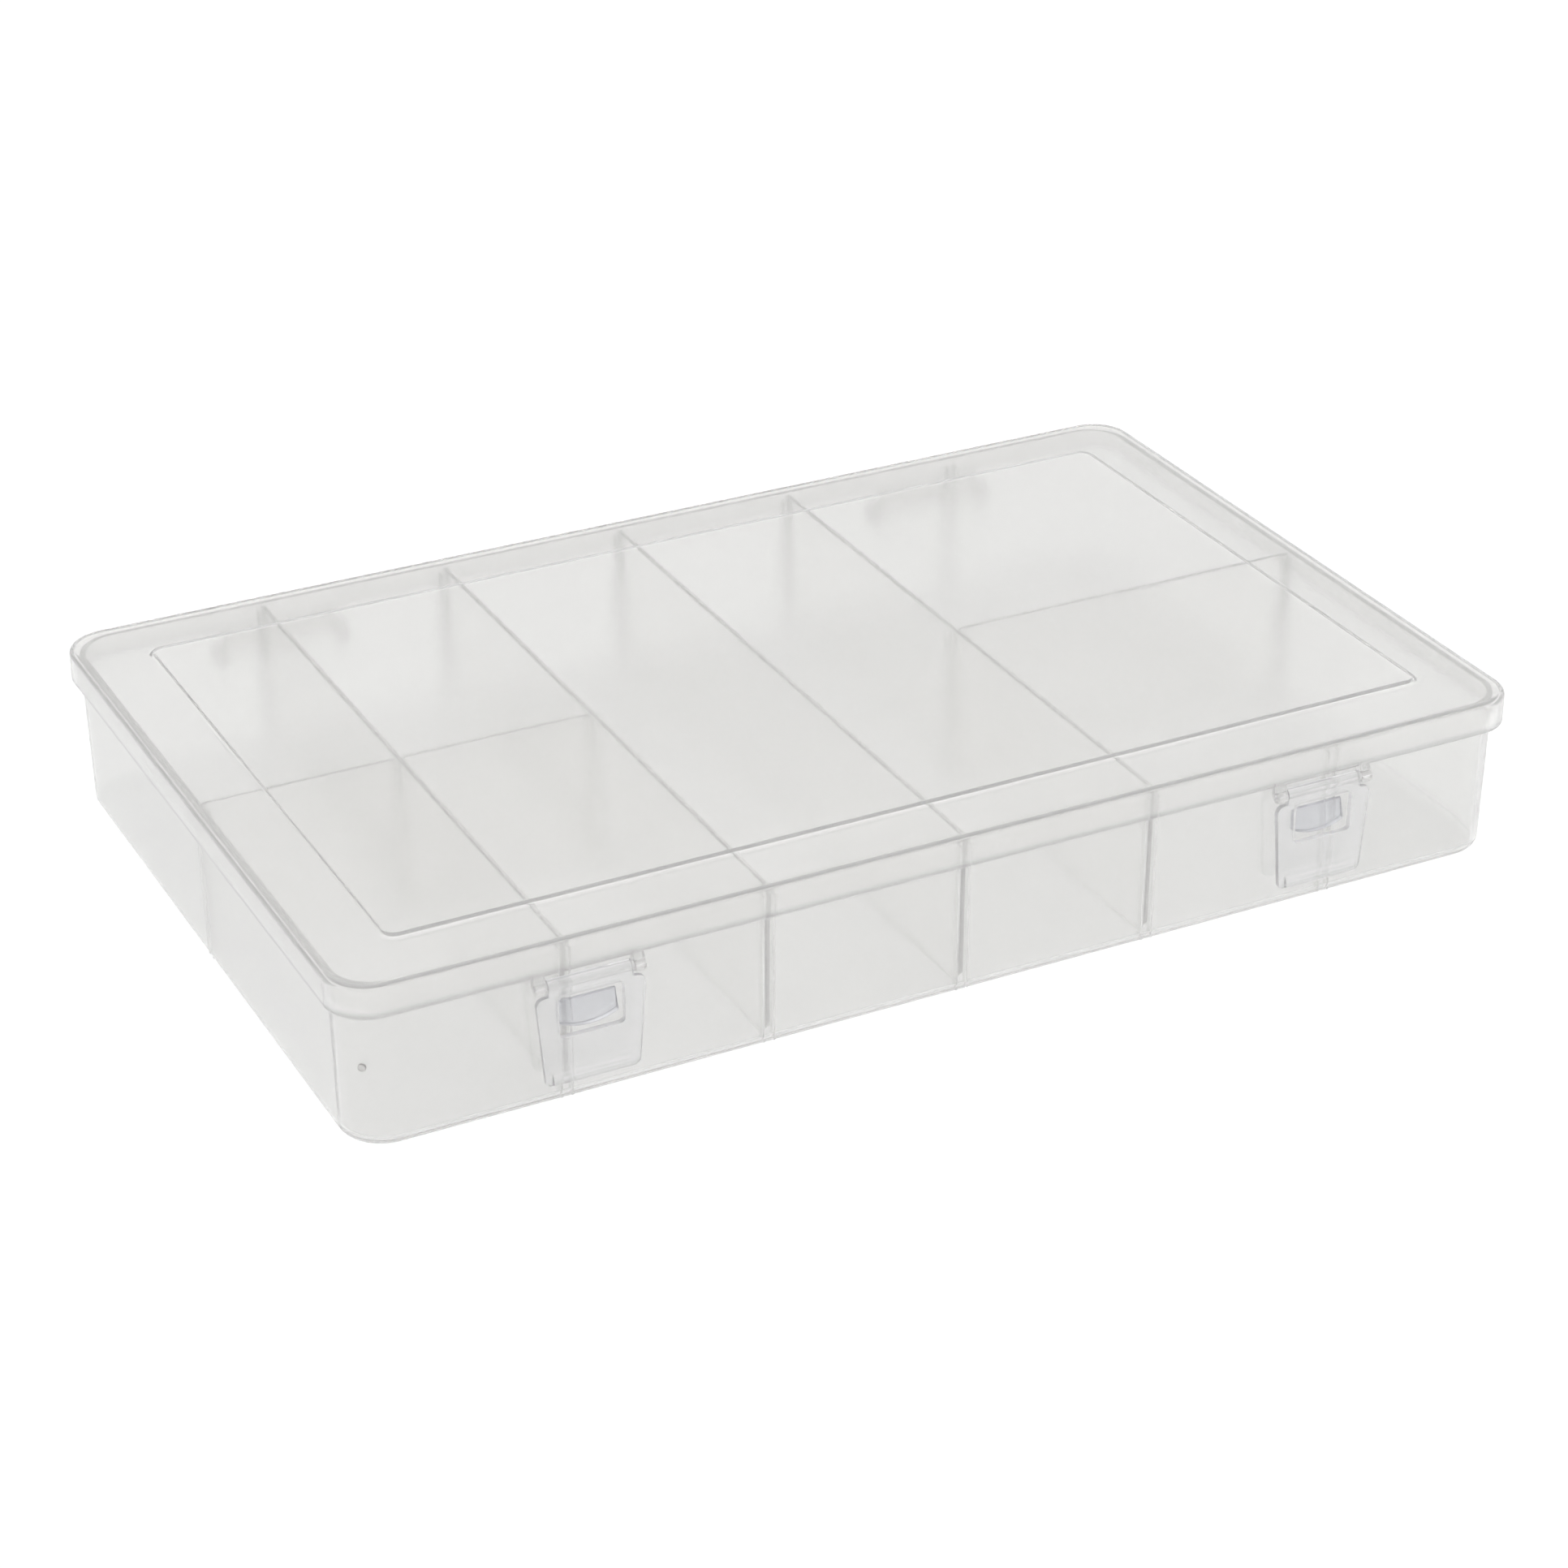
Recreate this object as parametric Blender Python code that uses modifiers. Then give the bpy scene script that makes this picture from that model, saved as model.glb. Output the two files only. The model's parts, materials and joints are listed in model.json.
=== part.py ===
"""Clear compartment box for fishing tackle.

A moulded tray with a hinged lid, two swinging latches and seven slide-in dividers.
Metres, +Z up. The front, with the latches, faces -Y. The origin is on the ground
under the middle of the whole box, hinges and latches included.
"""
import math

import bmesh
import bpy
from mathutils import Matrix

MM = 0.001

# Outside of the box
LID_WIDTH = 290 * MM
LID_DEPTH = 184 * MM
BORDER_TOP = 41 * MM            # the lid's border; its panel stands a little higher
FRONT_REACH = 2.6 * MM          # latches stand this far out of the lid's front
REAR_REACH = 3.6 * MM           # hinge ears stand this far out of the lid's back
MID_Y = (FRONT_REACH - REAR_REACH) / 2

# Lid
LID_WALL = 1.3 * MM
LID_CORNER = 10 * MM
SKIRT = 8 * MM
LID_EDGE = 1.5 * MM
PANEL_INSET = 16 * MM
PANEL_CORNER = 4 * MM
PANEL_SLOPE = 0.8 * MM
PANEL_RISE = 0.6 * MM

# Tray
TRAY_WALL = 1.4 * MM
LID_GAP = 0.5 * MM
TRAY_CORNER = 10.4 * MM
TRAY_DRAFT = 0.5 * MM
TRAY_EDGE = 3 * MM
TRAY_TOP = BORDER_TOP - LID_WALL - 0.4 * MM
TRAY_HALF_X = LID_WIDTH / 2 - LID_WALL - LID_GAP
TRAY_HALF_Y = LID_DEPTH / 2 - LID_WALL - LID_GAP

# Dividers and the guides that hold them
COLUMNS = 6
DIVIDER_WALL = 1.2 * MM
FIT = 0.3 * MM                  # clearance between pieces that touch on the real box
GUIDE_WALL = 1.0 * MM
GUIDE_DEPTH = 1.4 * MM
CROSS_GUIDE_DEPTH = 1.2 * MM
GUIDE_TOP = 37.5 * MM
DIVIDER_TOP = BORDER_TOP - LID_WALL - LID_GAP - FIT
INSIDE_HALF_X = TRAY_HALF_X - TRAY_WALL
INSIDE_HALF_Y = TRAY_HALF_Y - TRAY_WALL
PITCH = (2 * INSIDE_HALF_X + DIVIDER_WALL) / COLUMNS
LONG_DIVIDERS = (1, 2, 3, 4)    # places taken, counted from the left; place 5 is empty
SLOTTED_DIVIDERS = (1, 2, 4)    # these carry guides for the cross dividers
CROSS_SPANS = ((0, 1), (1, 2), (4, 6))

# Hinges
HINGE_X = 90 * MM
HINGE_Y = MID_Y + LID_DEPTH / 2 + 1.0 * MM
HINGE_Z = 27 * MM
KNUCKLE_RADIUS = 2.0 * MM
KNUCKLE_HALF = 14 * MM
EAR_RADIUS = 2.6 * MM
EAR_WIDTH = 2.7 * MM
HINGE_PIN = 1.1 * MM

# Latches
LATCH_X = 90.5 * MM
LATCH_Y = MID_Y - LID_DEPTH / 2 - 0.5 * MM
LATCH_Z = 31.2 * MM
LATCH_WALL = 1.4 * MM
LATCH_BACK = LATCH_Y + 0.3 * MM
LATCH_TOP_HALF = 12.5 * MM
LATCH_FOOT_HALF = 11 * MM
LATCH_FOOT = 7.2 * MM
NECK_HALF = 9.7 * MM
LUG_WIDTH = 2.5 * MM
LUG_RADIUS = 1.75 * MM
BARREL_RADIUS = 1.3 * MM
LATCH_PIN = 0.7 * MM
WINDOW_HALF = 7.5 * MM
WINDOW_LOW = 18.4 * MM
WINDOW_HIGH = 28.3 * MM
CATCH_HALF = 6.8 * MM

CORNER_STEPS = 6
ARC_STEPS = 8
EMBED = 0.5 * MM                # how far a joined feature reaches into its wall


# ---------------------------------------------------------------- helpers

def clear_scene():
    for obj in list(bpy.data.objects):
        bpy.data.objects.remove(obj, do_unlink=True)


def new_collection(name):
    collection = bpy.data.collections.new(name)
    bpy.context.scene.collection.children.link(collection)
    return collection


def plastic(name, colour, roughness):
    material = bpy.data.materials.new(name)
    material.use_nodes = True
    shader = material.node_tree.nodes["Principled BSDF"]
    shader.inputs["Base Color"].default_value = (*colour, 1)
    shader.inputs["Roughness"].default_value = roughness
    shader.inputs["Metallic"].default_value = 0
    shader.inputs["Transmission Weight"].default_value = 0.9
    shader.inputs["IOR"].default_value = 1.49
    return material


def add_object(name, bm, collection, material=None):
    mesh = bpy.data.meshes.new(name)
    bm.to_mesh(mesh)
    bm.free()
    obj = bpy.data.objects.new(name, mesh)
    collection.objects.link(obj)
    if material:
        mesh.materials.append(material)
    return obj


def add_tool(name, bm):
    """A shape that is only joined to a part or cut from it."""
    obj = add_object(name, bm, TOOLS)
    obj.hide_render = True
    obj.display_type = "WIRE"
    return obj


def boolean(obj, tool, operation):
    modifier = obj.modifiers.new(tool.name, "BOOLEAN")
    modifier.operation = operation
    modifier.solver = "EXACT"
    modifier.object = tool


def add_box(bm, low, high):
    size = [b - a for a, b in zip(low, high)]
    middle = [(a + b) / 2 for a, b in zip(low, high)]
    bmesh.ops.create_cube(bm, size=1, matrix=Matrix.Translation(middle) @ Matrix.Diagonal((*size, 1)))


def add_rod(bm, radius, x_low, x_high, y, z, segments=16):
    """A round rod along X."""
    place = Matrix.Translation(((x_low + x_high) / 2, y, z)) @ Matrix.Rotation(math.pi / 2, 4, "Y")
    bmesh.ops.create_cone(bm, cap_ends=True, segments=segments, radius1=radius, radius2=radius,
                          depth=x_high - x_low, matrix=place)


def add_prism(bm, outline, low, high, axis):
    """A flat outline pushed from low to high along X or Y; it is given as (Y, Z) or (X, Z)."""
    def corner(a, b, along):
        return (along, a, b) if axis == "X" else (a, along, b)

    face = bm.faces.new([bm.verts.new(corner(a, b, low)) for a, b in outline])
    pushed = bmesh.ops.extrude_face_region(bm, geom=[face])["geom"]
    verts = [v for v in pushed if isinstance(v, bmesh.types.BMVert)]
    bmesh.ops.translate(bm, verts=verts, vec=corner(0, 0, high - low))
    bmesh.ops.recalc_face_normals(bm, faces=bm.faces)


def arc(centre, radius, start, end, steps=ARC_STEPS):
    """Points on an arc, angles in degrees."""
    for step in range(steps + 1):
        angle = math.radians(start + (end - start) * step / steps)
        yield centre[0] + radius * math.cos(angle), centre[1] + radius * math.sin(angle)


def rounded_ring(bm, half_x, half_y, radius, z):
    """A rounded rectangle of vertices, anticlockwise seen from above."""
    right, back = half_x - radius, half_y - radius
    corners = ((right, -back, -90), (right, back, 0), (-right, back, 90), (-right, -back, 180))
    return [bm.verts.new((x, y + MID_Y, z))
            for cx, cy, start in corners
            for x, y in arc((cx, cy), radius, start, start + 90, CORNER_STEPS)]


def loft(bm, sections):
    """Walls through rounded rectangles, from the lowest or outermost one on."""
    rings = [rounded_ring(bm, *section) for section in sections]
    for lower, upper in zip(rings, rings[1:]):
        for i in range(len(lower)):
            j = (i + 1) % len(lower)
            bm.faces.new((lower[i], lower[j], upper[j], upper[i]))
    return rings


def solidify(obj, thickness):
    modifier = obj.modifiers.new("wall", "SOLIDIFY")
    modifier.thickness = thickness
    modifier.offset = -1
    modifier.use_even_offset = True


def divider_x(place):
    return (place - COLUMNS / 2) * PITCH


# ---------------------------------------------------------------- tray

def tray_shell(material):
    low_x, low_y = TRAY_HALF_X - TRAY_DRAFT, TRAY_HALF_Y - TRAY_DRAFT
    sections = []
    for angle in (0, 30, 60, 90):
        back = TRAY_EDGE * (1 - math.sin(math.radians(angle)))
        height = TRAY_EDGE * (1 - math.cos(math.radians(angle)))
        sections.append((low_x - back, low_y - back, TRAY_CORNER - back, height))
    sections.append((TRAY_HALF_X, TRAY_HALF_Y, TRAY_CORNER, TRAY_TOP))
    bm = bmesh.new()
    rings = loft(bm, sections)
    bm.faces.new(reversed(rings[0]))
    tray = add_object("tray", bm, PARTS, material)
    solidify(tray, TRAY_WALL)
    return tray


def guide_offsets():
    """Both ribs of a guide, as distances from the middle of the divider they hold."""
    near = DIVIDER_WALL / 2 + FIT
    return (-near - GUIDE_WALL, -near), (near, near + GUIDE_WALL)


def add_tray_guides(tray):
    floor = TRAY_WALL - EMBED
    wall_y = INSIDE_HALF_Y + EMBED
    tip_y = INSIDE_HALF_Y - GUIDE_DEPTH - TRAY_DRAFT
    bm = bmesh.new()
    for place in range(1, COLUMNS):
        for near, far in guide_offsets():
            low_x, high_x = divider_x(place) + near, divider_x(place) + far
            add_box(bm, (low_x, MID_Y - wall_y, floor), (high_x, MID_Y - tip_y, GUIDE_TOP))
            add_box(bm, (low_x, MID_Y + tip_y, floor), (high_x, MID_Y + wall_y, GUIDE_TOP))
    wall_x = INSIDE_HALF_X + EMBED
    tip_x = INSIDE_HALF_X - GUIDE_DEPTH - TRAY_DRAFT
    for near, far in guide_offsets():
        add_box(bm, (-wall_x, MID_Y + near, floor), (-tip_x, MID_Y + far, GUIDE_TOP))
        add_box(bm, (tip_x, MID_Y + near, floor), (wall_x, MID_Y + far, GUIDE_TOP))
    boolean(tray, add_tool("tray_guides", bm), "UNION")


def add_hinge_ears(tray):
    root = MID_Y + TRAY_HALF_Y - TRAY_WALL / 2
    outline = [(root, HINGE_Z + EAR_RADIUS)]
    outline += arc((HINGE_Y, HINGE_Z), EAR_RADIUS, 90, -90)
    outline += [(root, HINGE_Z - EAR_RADIUS)]
    ears, holes = bmesh.new(), bmesh.new()
    near = KNUCKLE_HALF + FIT
    far = near + EAR_WIDTH
    for side in (-1, 1):
        middle = side * HINGE_X
        add_prism(ears, outline, middle - far, middle - near, "X")
        add_prism(ears, outline, middle + near, middle + far, "X")
        add_rod(holes, HINGE_PIN + FIT, middle - far - EMBED, middle + far + EMBED, HINGE_Y, HINGE_Z)
    boolean(tray, add_tool("hinge_ears", ears), "UNION")
    boolean(tray, add_tool("hinge_ear_holes", holes), "DIFFERENCE")


def add_catches(tray):
    wall = MID_Y - TRAY_HALF_Y + TRAY_WALL / 2
    nose = LATCH_BACK + FIT
    outline = ((wall, 25.5 * MM), (nose, 22 * MM), (nose, 20.5 * MM), (wall, 19 * MM))
    bm = bmesh.new()
    for side in (-1, 1):
        add_prism(bm, outline, side * LATCH_X - CATCH_HALF, side * LATCH_X + CATCH_HALF, "X")
    boolean(tray, add_tool("catches", bm), "UNION")


def build_tray(material):
    tray = tray_shell(material)
    add_tray_guides(tray)
    add_hinge_ears(tray)
    add_catches(tray)


# ---------------------------------------------------------------- dividers

def build_long_divider(place, material):
    """A wall from front to back; its ends slide between the tray's guides."""
    x = divider_x(place)
    top, foot = INSIDE_HALF_Y - FIT, INSIDE_HALF_Y - TRAY_DRAFT - FIT
    floor = TRAY_WALL + FIT
    right = ((foot - TRAY_EDGE, floor), (foot, floor + TRAY_EDGE), (top, DIVIDER_TOP))
    outline = [(MID_Y + y, z) for y, z in right] + [(MID_Y - y, z) for y, z in reversed(right)]
    bm = bmesh.new()
    add_prism(bm, outline, x - DIVIDER_WALL / 2, x + DIVIDER_WALL / 2, "X")
    divider = add_object(f"divider_{place}", bm, PARTS, material)
    if place in SLOTTED_DIVIDERS:
        ribs = bmesh.new()
        reach = DIVIDER_WALL / 2 + CROSS_GUIDE_DEPTH
        for near, far in guide_offsets():
            add_box(ribs, (x - reach, MID_Y + near, floor + FIT), (x + reach, MID_Y + far, GUIDE_TOP))
        boolean(divider, add_tool(f"divider_{place}_guides", ribs), "UNION")


def build_cross_divider(number, first, last, material):
    """A wall across one column, or across two where no long divider stands between them."""
    bm = bmesh.new()
    floor = TRAY_WALL + FIT
    clear = DIVIDER_WALL / 2 + FIT
    low = divider_x(first) + clear
    high = divider_x(last) - clear
    low_foot, high_foot = low, high
    outline = []
    if first == 0:
        low_foot = low + TRAY_DRAFT
        outline += [(low_foot, floor + TRAY_EDGE), (low_foot + TRAY_EDGE, floor)]
    else:
        outline += [(low_foot, floor)]
    if last == COLUMNS:
        high_foot = high - TRAY_DRAFT
        outline += [(high_foot - TRAY_EDGE, floor), (high_foot, floor + TRAY_EDGE)]
    else:
        outline += [(high_foot, floor)]
    outline += [(high, DIVIDER_TOP), (low, DIVIDER_TOP)]
    add_prism(bm, outline, MID_Y - DIVIDER_WALL / 2, MID_Y + DIVIDER_WALL / 2, "Y")
    add_object(f"cross_divider_{number}", bm, PARTS, material)


# ---------------------------------------------------------------- lid

def lid_shell(material):
    half_x, half_y = LID_WIDTH / 2, LID_DEPTH / 2
    sections = [(half_x, half_y, LID_CORNER, BORDER_TOP - SKIRT)]
    for angle in (0, 45, 90):
        back = LID_EDGE * (1 - math.cos(math.radians(angle)))
        height = BORDER_TOP - LID_EDGE * (1 - math.sin(math.radians(angle)))
        sections.append((half_x - back, half_y - back, LID_CORNER - back, height))
    for inset, z in ((PANEL_INSET, BORDER_TOP), (PANEL_INSET + PANEL_SLOPE, BORDER_TOP + PANEL_RISE)):
        sections.append((half_x - inset, half_y - inset, PANEL_CORNER + PANEL_INSET - inset, z))
    bm = bmesh.new()
    rings = loft(bm, sections)
    bm.faces.new(rings[-1])
    lid = add_object("lid", bm, PARTS, material)
    solidify(lid, LID_WALL)
    return lid


def add_hinge_knuckles(lid):
    outline = list(arc((HINGE_Y, HINGE_Z), KNUCKLE_RADIUS, 45, -180))
    skirt = MID_Y + LID_DEPTH / 2 - LID_WALL / 2
    outline += [(HINGE_Y - KNUCKLE_RADIUS, 34 * MM), (skirt, 35.5 * MM)]
    knuckles, pins = bmesh.new(), bmesh.new()
    tip = KNUCKLE_HALF + FIT + EAR_WIDTH
    for side in (-1, 1):
        middle = side * HINGE_X
        add_prism(knuckles, outline, middle - KNUCKLE_HALF, middle + KNUCKLE_HALF, "X")
        add_rod(pins, HINGE_PIN, middle - tip, middle + tip, HINGE_Y, HINGE_Z)
    boolean(lid, add_tool("hinge_knuckles", knuckles), "UNION")
    boolean(lid, add_tool("hinge_pins", pins), "UNION")


def add_latch_lugs(lid):
    """A pair of lugs under the skirt for each latch, drilled for its pins."""
    outline = list(arc((LATCH_Y, LATCH_Z), LUG_RADIUS, 180, 360))
    outline += [(LATCH_Y + LUG_RADIUS, 34 * MM), (LATCH_Y + LUG_RADIUS - 0.6 * MM, 35.8 * MM)]
    lugs, holes = bmesh.new(), bmesh.new()
    near = NECK_HALF + FIT
    far = near + LUG_WIDTH
    for side in (-1, 1):
        middle = side * LATCH_X
        add_prism(lugs, outline, middle - far, middle - near, "X")
        add_prism(lugs, outline, middle + near, middle + far, "X")
        add_rod(holes, LATCH_PIN + FIT, middle - far - EMBED, middle + far + EMBED, LATCH_Y, LATCH_Z)
    boolean(lid, add_tool("latch_lugs", lugs), "UNION")
    boolean(lid, add_tool("latch_lug_holes", holes), "DIFFERENCE")


def build_lid(material):
    """The lid turns about its hinge axis, so its empty and its origin lie there."""
    lid = lid_shell(material)
    add_hinge_knuckles(lid)
    add_latch_lugs(lid)
    axis = bpy.data.objects.new("lid_axis", None)
    axis.location = (0, HINGE_Y, HINGE_Z)
    PARTS.objects.link(axis)
    lid.parent = axis
    lid.matrix_parent_inverse = Matrix.Translation((0, -HINGE_Y, -HINGE_Z))
    return axis


# ---------------------------------------------------------------- latches

def latch_plate():
    """Seen from the front: a neck between the lugs, shoulders, and sides that taper down."""
    shoulder = LATCH_Z - LUG_RADIUS - FIT - 0.3 * MM
    top_radius, foot_radius = 2 * MM, 1.5 * MM
    right = [(NECK_HALF, LATCH_Z - LATCH_Z), (NECK_HALF, shoulder - LATCH_Z)]
    right += arc((LATCH_TOP_HALF - top_radius, shoulder - top_radius - LATCH_Z), top_radius, 90, 0, 3)
    right += arc((LATCH_FOOT_HALF - foot_radius, LATCH_FOOT + foot_radius - LATCH_Z),
                 foot_radius, 0, -90, 3)
    outline = right + [(-x, z) for x, z in reversed(right)]
    bm = bmesh.new()
    back = LATCH_BACK - LATCH_Y
    add_prism(bm, outline, back - LATCH_WALL, back, "Y")
    return bm


def build_latch(side, name, lid_axis, material):
    """Modelled around its own pivot, then set on the lid's lugs."""
    latch = add_object(name, latch_plate(), PARTS, material)

    barrel = bmesh.new()
    add_rod(barrel, BARREL_RADIUS, -NECK_HALF, NECK_HALF, 0, 0)
    pin = bmesh.new()
    pin_half = NECK_HALF + FIT + LUG_WIDTH - 0.1 * MM
    add_rod(pin, LATCH_PIN, -pin_half, pin_half, 0, 0, 12)

    lip = bmesh.new()
    front = LATCH_BACK - LATCH_WALL - LATCH_Y
    lip_tip = MID_Y - LID_DEPTH / 2 - FRONT_REACH - LATCH_Y
    foot = LATCH_FOOT - LATCH_Z
    outline = ((front + EMBED, foot + 0.2 * MM), (lip_tip, foot + 0.6 * MM),
               (lip_tip, foot + 1.6 * MM), (front + EMBED, foot + 5 * MM))
    lip_half = LATCH_FOOT_HALF - 1.5 * MM
    add_prism(lip, outline, -lip_half, lip_half, "X")

    window = bmesh.new()
    radius = 1.2 * MM
    low, high = WINDOW_LOW - LATCH_Z, WINDOW_HIGH - LATCH_Z
    corners = ((WINDOW_HALF, low, -90), (WINDOW_HALF, high, 0), (-WINDOW_HALF, high, 90),
               (-WINDOW_HALF, low, 180))
    outline = []
    for x, z, start in corners:
        centre = (x - math.copysign(radius, x), z + (radius if z == low else -radius))
        outline += arc(centre, radius, start, start + 90, 3)
    add_prism(window, outline, -5 * MM, 5 * MM, "Y")

    pivot = (side * LATCH_X, LATCH_Y, LATCH_Z)
    for shape, label, operation in ((barrel, "barrel", "UNION"), (pin, "pin", "UNION"),
                                    (lip, "lip", "UNION"), (window, "window", "DIFFERENCE")):
        tool = add_tool(f"{name}_{label}", shape)
        tool.location = pivot
        boolean(latch, tool, operation)
    latch.parent = lid_axis
    latch.matrix_parent_inverse = Matrix.Translation((0, -HINGE_Y, -HINGE_Z))
    latch.location = pivot


# ---------------------------------------------------------------- build

clear_scene()
PARTS = new_collection("fishing_tackle_box")
TOOLS = new_collection("shaping_tools")

tray_plastic = plastic("clear_tray_plastic", (0.86, 0.87, 0.86), 0.12)
divider_plastic = plastic("clear_divider_plastic", (0.85, 0.86, 0.85), 0.15)
lid_plastic = plastic("clear_lid_plastic", (0.87, 0.88, 0.87), 0.10)
latch_plastic = plastic("clear_latch_plastic", (0.82, 0.83, 0.88), 0.12)

build_tray(tray_plastic)
for taken in LONG_DIVIDERS:
    build_long_divider(taken, divider_plastic)
for count, (left, right) in enumerate(CROSS_SPANS, start=1):
    build_cross_divider(count, left, right, divider_plastic)
hinge_line = build_lid(lid_plastic)
build_latch(-1, "latch_left", hinge_line, latch_plastic)
build_latch(1, "latch_right", hinge_line, latch_plastic)
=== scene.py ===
"""Looks of the clear fishing tackle box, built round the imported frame. Metres, +Z up."""
import json
import math

import bmesh
import bpy
from mathutils import Matrix, Vector


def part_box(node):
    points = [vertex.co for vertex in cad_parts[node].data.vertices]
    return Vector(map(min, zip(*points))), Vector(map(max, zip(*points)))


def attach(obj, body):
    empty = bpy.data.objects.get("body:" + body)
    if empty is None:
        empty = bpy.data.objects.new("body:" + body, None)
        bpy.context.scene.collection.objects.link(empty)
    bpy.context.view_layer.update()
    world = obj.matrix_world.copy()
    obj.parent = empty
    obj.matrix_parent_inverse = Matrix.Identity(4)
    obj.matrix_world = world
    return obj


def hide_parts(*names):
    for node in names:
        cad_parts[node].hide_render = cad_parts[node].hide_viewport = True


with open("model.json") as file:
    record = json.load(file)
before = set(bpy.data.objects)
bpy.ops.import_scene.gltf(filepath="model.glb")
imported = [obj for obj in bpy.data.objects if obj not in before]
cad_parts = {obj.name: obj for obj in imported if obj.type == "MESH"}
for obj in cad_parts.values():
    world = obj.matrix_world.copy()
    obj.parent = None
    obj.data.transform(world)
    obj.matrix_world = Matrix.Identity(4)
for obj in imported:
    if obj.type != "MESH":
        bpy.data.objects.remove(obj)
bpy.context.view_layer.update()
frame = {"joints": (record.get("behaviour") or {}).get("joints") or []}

MM = 0.001

# Places that come from the frame
LID_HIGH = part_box("lid")[1]
TRAY_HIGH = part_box("tray")[1]
DIVIDER_LOW, DIVIDER_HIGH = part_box("divider_3")
LATCH_LOW, LATCH_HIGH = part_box("latch_right")
JOINTS = {joint["name"]: joint for joint in frame["joints"]}
HINGE_Y, HINGE_Z = JOINTS["lid_hinge"]["pos_m"][1:]
LATCH_X, LATCH_Y, LATCH_Z = JOINTS["latch_right_pivot"]["pos_m"]
MID_Y = (DIVIDER_LOW.y + DIVIDER_HIGH.y) / 2

# Lid
LID_HALF_X = LID_HIGH.x
LID_HALF_Y = 92 * MM
PANEL_TOP = LID_HIGH.z
PANEL_RISE = 0.6 * MM
BORDER_TOP = PANEL_TOP - PANEL_RISE
LID_WALL = 1.3 * MM
LID_CORNER = 10 * MM
LID_EDGE = 1.5 * MM
SKIRT = 8 * MM
PANEL_INSET = 16 * MM
PANEL_CORNER = 4 * MM
PANEL_SLOPE = 1.6 * MM

# Tray
TRAY_HALF_X = TRAY_HIGH.x
TRAY_HALF_Y = LID_HALF_Y - (LID_HALF_X - TRAY_HALF_X)
TRAY_TOP = TRAY_HIGH.z
TRAY_WALL = 1.4 * MM
TRAY_CORNER = 10.4 * MM
TRAY_DRAFT = 0.5 * MM
TRAY_EDGE = 3 * MM
DOT_ANGLE = 229
DOT_HEIGHT = 20 * MM
DOT_RADIUS = 0.9 * MM
DOT_DEPTH = 0.8 * MM
RIM_SOFT = 0.35 * MM
HEM_SOFT = 0.6 * MM
# Height of the band of painted shade along the lid skirt's hem, and the fade at its edges
PAINTED_HEM_SHADE_HEIGHT = 1.2 * MM
PAINTED_HEM_SHADE_FADE = 0.4 * MM

# Dividers and guides
COLUMNS = 6
DIVIDER_WALL = DIVIDER_HIGH.x - DIVIDER_LOW.x
DIVIDER_TOP = DIVIDER_HIGH.z
FIT = 0.3 * MM
GUIDE_WALL = 0.7 * MM
GUIDE_DEPTH = 1.4 * MM
CROSS_GUIDE_DEPTH = 1.2 * MM
GUIDE_TOP = 37.5 * MM
INSIDE_HALF_X = TRAY_HALF_X - TRAY_WALL
INSIDE_HALF_Y = TRAY_HALF_Y - TRAY_WALL
PITCH = (2 * INSIDE_HALF_X + DIVIDER_WALL) / COLUMNS
SLOTTED_DIVIDERS = (1, 2, 4)
CROSS_SPANS = ((0, 1), (1, 2), (4, 6))

# Hinges
HINGE_X = 90 * MM
KNUCKLE_RADIUS = 2.0 * MM
KNUCKLE_HALF = 14 * MM
EAR_RADIUS = 2.6 * MM
EAR_WIDTH = 2.7 * MM
HINGE_PIN = 1.1 * MM
KNUCKLE_ROOT = (34 * MM, 35.5 * MM)
PIN_GAP = 0.1 * MM

# Latches, measured from their pivot
LATCH_WALL = 1.4 * MM
LATCH_BACK = 0.3 * MM
LATCH_TOP_HALF = LATCH_HIGH.x - LATCH_X
LATCH_FOOT_HALF = 11 * MM
LATCH_FOOT = LATCH_LOW.z - LATCH_Z
NECK_HALF = 9.7 * MM
LUG_WIDTH = 2.5 * MM
LUG_RADIUS = 1.75 * MM
LUG_ROOT = (34 * MM, 35.8 * MM)
LUG_LEAN = 0.6 * MM
BARREL_RADIUS = 1.3 * MM
LATCH_PIN = 0.7 * MM
WINDOW_HALF = 7.5 * MM
WINDOW_LOW = 18.4 * MM
WINDOW_HIGH = 28.3 * MM
CATCH_HALF = 6.8 * MM
CATCH_TOP = 25.5 * MM
CATCH_NOSE = 22 * MM
CATCH_FOOT = 19 * MM
CATCH_BOW = 1.6 * MM
CATCH_SLOPE = 0.4
CATCH_STEPS = 12

# How the panel's edge climbs from the border: share of its width, share of its rise
PANEL_STEP = ((1, 1), (0.85, 0.97), (0.7, 0.85), (0.3, 0.15), (0.15, 0.03), (0, 0))

CORNER_STEPS = 16
EDGE_STEPS = 6
SHARP_ANGLE = math.radians(50)
EMBED = 0.5 * MM


# ---------------------------------------------------------------- mesh helpers

def arc(centre, radius, start, end, steps=12):
    """Points on an arc, angles in degrees."""
    for step in range(steps + 1):
        angle = math.radians(start + (end - start) * step / steps)
        yield centre[0] + radius * math.cos(angle), centre[1] + radius * math.sin(angle)


def rounded_ring(bm, half_x, half_y, radius, z):
    """A rounded rectangle of vertices, anticlockwise seen from above."""
    right, back = half_x - radius, half_y - radius
    corners = ((right, -back, -90), (right, back, 0), (-right, back, 90), (-right, -back, 180))
    return [bm.verts.new((x, y + MID_Y, z))
            for cx, cy, start in corners
            for x, y in arc((cx, cy), radius, start, start + 90, CORNER_STEPS)]


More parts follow.
